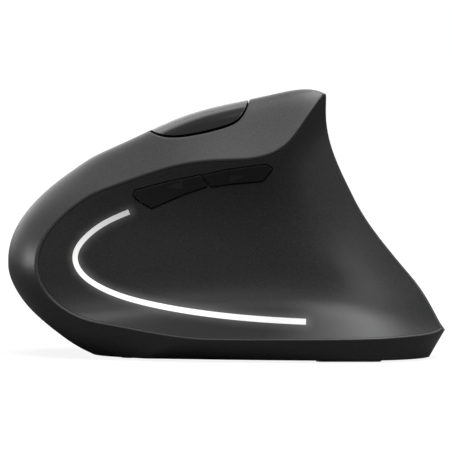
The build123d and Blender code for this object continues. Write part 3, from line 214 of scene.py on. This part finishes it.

# Thumb buttons: two moulded caps in openings along the panel's upper edge, each on the post that
# presses its switch, with a faint printed triangle that points the way it leads. They look matte,
# and their edges are painted slightly pale, partly as rubbing and partly as a painted highlight.
button_plastic = moulded("button_plastic", colour="1d1d1e", roughness=0.4, grain=0.2,
                         grain_size=0.3, edge=0.4, rub_and_highlight=0.5, specular=0.06)
print_slope = 0.19          # the marks lie along the caps, which climb towards the tail
print_length = 4.3 * MM
print_half = 1.15 * MM      # half the width of a mark's blunt end
forward_mark = (-16.1 * MM, 47.7 * MM, 1)    # X and Z of the tip, and which way the body runs
back_mark = (5.5 * MM, 51.0 * MM, -1)
tree = button_plastic.node_tree
shader = tree.nodes["Principled BSDF"]
place = add(tree, "ShaderNodeTexCoord").outputs["Object"]
axes = add(tree, "ShaderNodeSeparateXYZ", {0: place}).outputs
mark = None
for tip_x, tip_z, way in (forward_mark, back_mark):
    run = add(tree, "ShaderNodeMath", {0: axes["X"], 1: -tip_x}).outputs["Value"]
    run = add(tree, "ShaderNodeMath", {0: run, 1: way}, operation="MULTIPLY").outputs["Value"]
    level = add(tree, "ShaderNodeMath", {0: run, 1: way * print_slope, 2: tip_z},
                operation="MULTIPLY_ADD").outputs["Value"]
    off = add(tree, "ShaderNodeMath", {0: axes["Z"], 1: level},
              operation="SUBTRACT").outputs["Value"]
    off = add(tree, "ShaderNodeMath", {0: off}, operation="ABSOLUTE").outputs["Value"]
    half = add(tree, "ShaderNodeMath", {0: run, 1: print_half / print_length},
               operation="MULTIPLY").outputs["Value"]
    inside = add(tree, "ShaderNodeMath", {0: off, 1: half},
                 operation="LESS_THAN").outputs["Value"]
    short = add(tree, "ShaderNodeMath", {0: run, 1: print_length},
                operation="LESS_THAN").outputs["Value"]
    inside = add(tree, "ShaderNodeMath", {0: inside, 1: short},
                 operation="MULTIPLY").outputs["Value"]
    if mark is not None:
        inside = add(tree, "ShaderNodeMath", {0: mark, 1: inside},
                     operation="MAXIMUM").outputs["Value"]
    mark = inside
bare = shader.inputs["Base Color"].links[0].from_socket
printed = add(tree, "ShaderNodeMix", {MIX_SHARE: mark, MIX_A: bare, MIX_B: linear("262627")},
              data_type="RGBA").outputs[MIX_COLOUR]
tree.links.new(printed, shader.inputs["Base Color"])
dress(button_plastic, "forward_button", "back_button")

# Resolution button: a cap of polished black plastic let into the ridge. Its top looks domed and
# mirrors the bright surroundings behind it in a narrow streak. Its rim is painted pale as a
# highlight. Its flank sits in the dark slot round it, so its colour is painted nearly black as
# shade, and it is drawn without shine.
gloss_black = moulded("gloss_black", colour="0b0b0c", roughness=0.16, mottle=0.02, edge=0.35,
                      rub_and_highlight=1.0)
flank_rise = 0.2                         # a face whose normal rises less than this is the flank
top_shine = 0.22
dome_range = (-8.2 * MM, -3.8 * MM)      # Y across the cap, from its thumb edge
dome_share = 0.6
dome_lean = (0, 0.6, 1)                  # the way that the dome turns the normals, up and back
tree = gloss_black.node_tree
shader = tree.nodes["Principled BSDF"]
facing = add(tree, "ShaderNodeNewGeometry").outputs["True Normal"]
rise = add(tree, "ShaderNodeSeparateXYZ", {0: facing}).outputs["Z"]
flank = add(tree, "ShaderNodeMath", {0: rise, 1: flank_rise},
            operation="LESS_THAN").outputs["Value"]
skin = shader.inputs["Base Color"].links[0].from_socket
# The flank's colour is painted shade, nearly black, and its shine is taken away below.
shade = add(tree, "ShaderNodeMix", {MIX_SHARE: flank, MIX_A: skin, MIX_B: linear("030303")},
            data_type="RGBA").outputs[MIX_COLOUR]
place = add(tree, "ShaderNodeTexCoord").outputs["Object"]
across = add(tree, "ShaderNodeSeparateXYZ", {0: place}).outputs["Y"]
crown = add(tree, "ShaderNodeMapRange",
            {"Value": across, "From Min": dome_range[0], "From Max": dome_range[1],
             "To Min": 0.0, "To Max": dome_share}).outputs["Result"]
lift = add(tree, "ShaderNodeVectorMath", {0: dome_lean, "Scale": crown},
           operation="SCALE").outputs["Vector"]
flat = shader.inputs["Normal"].links[0].from_socket
bent = add(tree, "ShaderNodeVectorMath", {0: flat, 1: lift}, operation="ADD").outputs["Vector"]
domed = add(tree, "ShaderNodeVectorMath", {0: bent}, operation="NORMALIZE").outputs["Vector"]
shine = add(tree, "ShaderNodeMapRange",
            {"Value": flank, "To Min": top_shine, "To Max": 0.0}).outputs["Result"]
tree.links.new(shade, shader.inputs["Base Color"])
tree.links.new(domed, shader.inputs["Normal"])
tree.links.new(shine, shader.inputs["Specular IOR Level"])
dress(gloss_black, "dpi_button")

# Wheel strip: a bar of polished black plastic between the click keys, with a slot for the wheel.
# It stands on two posts of the frame, and looks like the resolution button with crisper edges.
strip_gloss = moulded("strip_gloss", colour="0e0e0f", roughness=0.12, mottle=0.02, edge=0.2)
dress(strip_gloss, "wheel_strip")

# Light guide: a strip of milky diffuser plastic let into the panel and lit by LEDs behind it. It
# looks white and almost even, and weaker towards both of its ends.
milk_width = 11.11 * MM                  # soft clouds of the milky plastic
milk_range = (0.9, 1.1)
lit_diffuser, tree, shader = new_material("lit_diffuser")
place = add(tree, "ShaderNodeTexCoord").outputs["Object"]
cloud = add(tree, "ShaderNodeTexNoise", {"Vector": place, "Scale": 1 / milk_width}).outputs["Fac"]
level = add(tree, "ShaderNodeMapRange",
            {"Value": cloud, "To Min": milk_range[0], "To Max": milk_range[1]}).outputs["Result"]
level = add(tree, "ShaderNodeMath", {0: level, 1: lit_share(tree, place)},
            operation="MULTIPLY").outputs["Value"]
shader.inputs["Base Color"].default_value = linear("4c4c4a")
shader.inputs["Roughness"].default_value = 0.5
shader.inputs["Emission Color"].default_value = linear("ffffff")
tree.links.new(level, shader.inputs["Emission Strength"])
dress(lit_diffuser, "light_guide")

# Inner frame, wheel cradle, base plate and battery door: moulded in dark plastic, plain and
# slightly rough. The frame stands on the base, the cradle sinks in the frame for the middle
# click, and the door fits into the base.
frame_plastic = moulded("frame_plastic", colour="1f2022", roughness=0.5, grain=0.2)
dress(frame_plastic, "inner_frame", "wheel_cradle", "base_plate", "battery_door")

# Switches, encoder, chips, power switch and receiver body: small moulded housings, soldered to
# their boards or clipped in. They are smoother and blacker than the frame.
switch_plastic = moulded("switch_plastic", colour="151517", roughness=0.4, grain=0.1)
dress(switch_plastic, "wheel_encoder", "left_microswitch", "right_microswitch", "middle_tact",
      "forward_tact", "back_tact", "dpi_tact", "radio_chip", "optical_sensor",
      "power_switch_body", "power_switch_knob", "usb_receiver_body")

# Circuit boards: glass-fibre sheets cut to shape and set on bosses and posts, under a green
# solder mask that looks satin and cloudy.
solder_mask = moulded("solder_mask", colour="1d4a31", roughness=0.35, mottle=0.15,
                      grain_size=0.5)
dress(solder_mask, "switch_board", "side_button_board", "dpi_board", "led_boards", "main_board")

# LEDs: small packages of pale yellow resin, smooth and a little shiny. Each is soldered to a
# small board of its own and faces the back of the light guide.
led_package = moulded("led_package", colour="e8e4cc", roughness=0.3)
dress(led_package, "leds")

# Wheel: a ribbed tyre of dull black rubber, stretched over a hub that is moulded in smoother grey
# plastic.
ribbed_rubber = moulded("ribbed_rubber", colour="1a1a1b", roughness=0.75, grain=0.4,
                        grain_size=0.15)
hub_plastic = moulded("hub_plastic", colour="38393b", roughness=0.4, grain=0.1)
dress(ribbed_rubber, "wheel_tyre")
dress(hub_plastic, "wheel_hub")

# Wheel axle, battery contacts and springs, and the receiver's plug: turned, wound or stamped
# steel under bright plating, with a soft metal shine.
plated_steel = moulded("plated_steel", colour="b4b6b8", roughness=0.28, mottle=0.03,
                       metallic=1.0)
dress(plated_steel, "wheel_axle", "battery_contacts", "battery_springs", "usb_receiver_plug")

# Batteries: two AAA cells that lie in the base's bay between their contacts. A plain blue film is
# shrunk round each, and looks glossy.
cell_wrap = moulded("cell_wrap", colour="2f4a63", roughness=0.3, mottle=0.04, coat=0.3)
dress(cell_wrap, "battery_1", "battery_2")

# Sensor lens: one clear moulding that sits under the optical sensor, in the base's window. It is
# polished, so that it is seen through.
clear_lens, tree, shader = new_material("clear_lens")
shader.inputs["Base Color"].default_value = linear("e6ecee")
shader.inputs["Transmission Weight"].default_value = 0.9
shader.inputs["Roughness"].default_value = 0.05
dress(clear_lens, "sensor_lens")

# Glide feet: pads cut from a sheet of slick pale plastic and stuck into the base plate's beds.
# They look smooth and a little shiny.
glide_plastic = moulded("glide_plastic", colour="cfcfcc", roughness=0.3, mottle=0.04)
dress(glide_plastic, "glide_feet")

# Screws: zinc-plated steel, greyer and duller than the contacts. They hold the base plate to the
# shell, and the boards to their bosses.
screw_steel = moulded("screw_steel", colour="6a6c6f", roughness=0.35, mottle=0.08, metallic=1.0)
dress(screw_steel, "shell_screws", "board_screws")

# Floor: a plain pale sheet that takes the mouse's soft shadow. The camera sees it glow white, and
# a little less near the mouse, so that the shadow is kept. It lies just under the feet, so that
# no two faces lie in one plane.
floor_half = 4.0
floor_drop = 0.05 * MM
sheet_cloud = 166.7 * MM                 # soft clouds of the sheet's grey
glow_range = (70 * MM, 250 * MM)         # distance from the mouse's middle
near_glow, far_glow = 0.9, 1.0
floor_mesh = bpy.data.meshes.new("floor")
corners = [(-floor_half, -floor_half, 0), (floor_half, -floor_half, 0),
           (floor_half, floor_half, 0), (-floor_half, floor_half, 0)]
floor_mesh.from_pydata(corners, [], [(0, 1, 2, 3)])
floor = bpy.data.objects.new("floor", floor_mesh)
floor.location.z = -floor_drop
bpy.context.scene.collection.objects.link(floor)
pale_floor, tree, shader = new_material("pale_floor")
place = add(tree, "ShaderNodeTexCoord").outputs["Object"]
cloud = add(tree, "ShaderNodeTexNoise",
            {"Vector": place, "Scale": 1 / sheet_cloud}).outputs["Fac"]
tone = add(tree, "ShaderNodeMix",
           {MIX_SHARE: cloud, MIX_A: linear("868686"), MIX_B: linear("8c8c8c")},
           data_type="RGBA").outputs[MIX_COLOUR]
seen = add(tree, "ShaderNodeLightPath").outputs["Is Camera Ray"]
away = add(tree, "ShaderNodeVectorMath", {0: place}, operation="LENGTH").outputs["Value"]
spread = add(tree, "ShaderNodeMapRange",
             {"Value": away, "From Min": glow_range[0], "From Max": glow_range[1],
              "To Min": near_glow, "To Max": far_glow}).outputs["Result"]
glow = add(tree, "ShaderNodeMath", {0: seen, 1: spread}, operation="MULTIPLY").outputs["Value"]
shader.inputs["Roughness"].default_value = 0.9
shader.inputs["Specular IOR Level"].default_value = 0.0
shader.inputs["Emission Color"].default_value = linear("ffffff")
tree.links.new(tone, shader.inputs["Base Color"])
tree.links.new(glow, shader.inputs["Emission Strength"])
floor_mesh.materials.append(pale_floor)

# Studio surroundings: white where the camera sees them, directly, in gloss or through the clear
# lens, and dim as a light, so that the lamps shape the mouse.
ambient_light, backdrop_white = 0.03, 1.0
world = bpy.data.worlds.new("studio")
bpy.context.scene.world = world
world.use_nodes = True
tree = world.node_tree
backdrop = tree.nodes["Background"]
path = add(tree, "ShaderNodeLightPath").outputs
seen = add(tree, "ShaderNodeMath", {0: path["Is Camera Ray"], 1: path["Is Glossy Ray"]},
           operation="MAXIMUM").outputs["Value"]
seen = add(tree, "ShaderNodeMath", {0: seen, 1: path["Is Transmission Ray"]},
           operation="MAXIMUM").outputs["Value"]
strength = add(tree, "ShaderNodeMapRange",
               {"Value": seen, "To Min": ambient_light,
                "To Max": backdrop_white}).outputs["Result"]
backdrop.inputs["Color"].default_value = linear("ffffff")
tree.links.new(strength, backdrop.inputs["Strength"])

# Studio lamps: rectangular soft boxes round the mouse, all turned to its middle. Places are in
# metres, sizes are width and height in metres, and powers are in watts.
mouse_middle = Vector((0, 0, 0.04))


def soft_box(name, place, size, power, mirrored=True, fills=True):
    """A lamp that shows in gloss unless mirrored is off, and lights matte skin unless fills is."""
    light = bpy.data.lights.new(name, "AREA")
    light.shape = "RECTANGLE"
    light.size, light.size_y = size
    light.energy = power
    box = bpy.data.objects.new(name, light)
    box.location = place
    box.rotation_euler = (mouse_middle - Vector(place)).to_track_quat("-Z", "Y").to_euler()
    box.visible_glossy = mirrored
    box.visible_diffuse = fills
    bpy.context.scene.collection.objects.link(box)


# The first two light the side from above, and the tail's flare mirrors the second. The others
# only make highlights, on the ridge band, on the resolution button and on the nose.
soft_box("key_box", place=(-0.09, -0.39, 0.56), size=(0.35, 0.3), power=2.8, mirrored=False)
soft_box("flare_box", place=(0.22, -0.32, 0.57), size=(0.3, 0.4), power=2.7)
soft_box("crest_box", place=(0.06, 0.1, 0.66), size=(0.1, 0.46), power=3.8, fills=False)
soft_box("back_panel", place=(-0.12, 0.5, 0.36), size=(0.8, 0.6), power=2.6, fills=False)
soft_box("nose_box", place=(-0.6, -0.08, 0.05), size=(0.26, 0.26), power=3.6, fills=False)
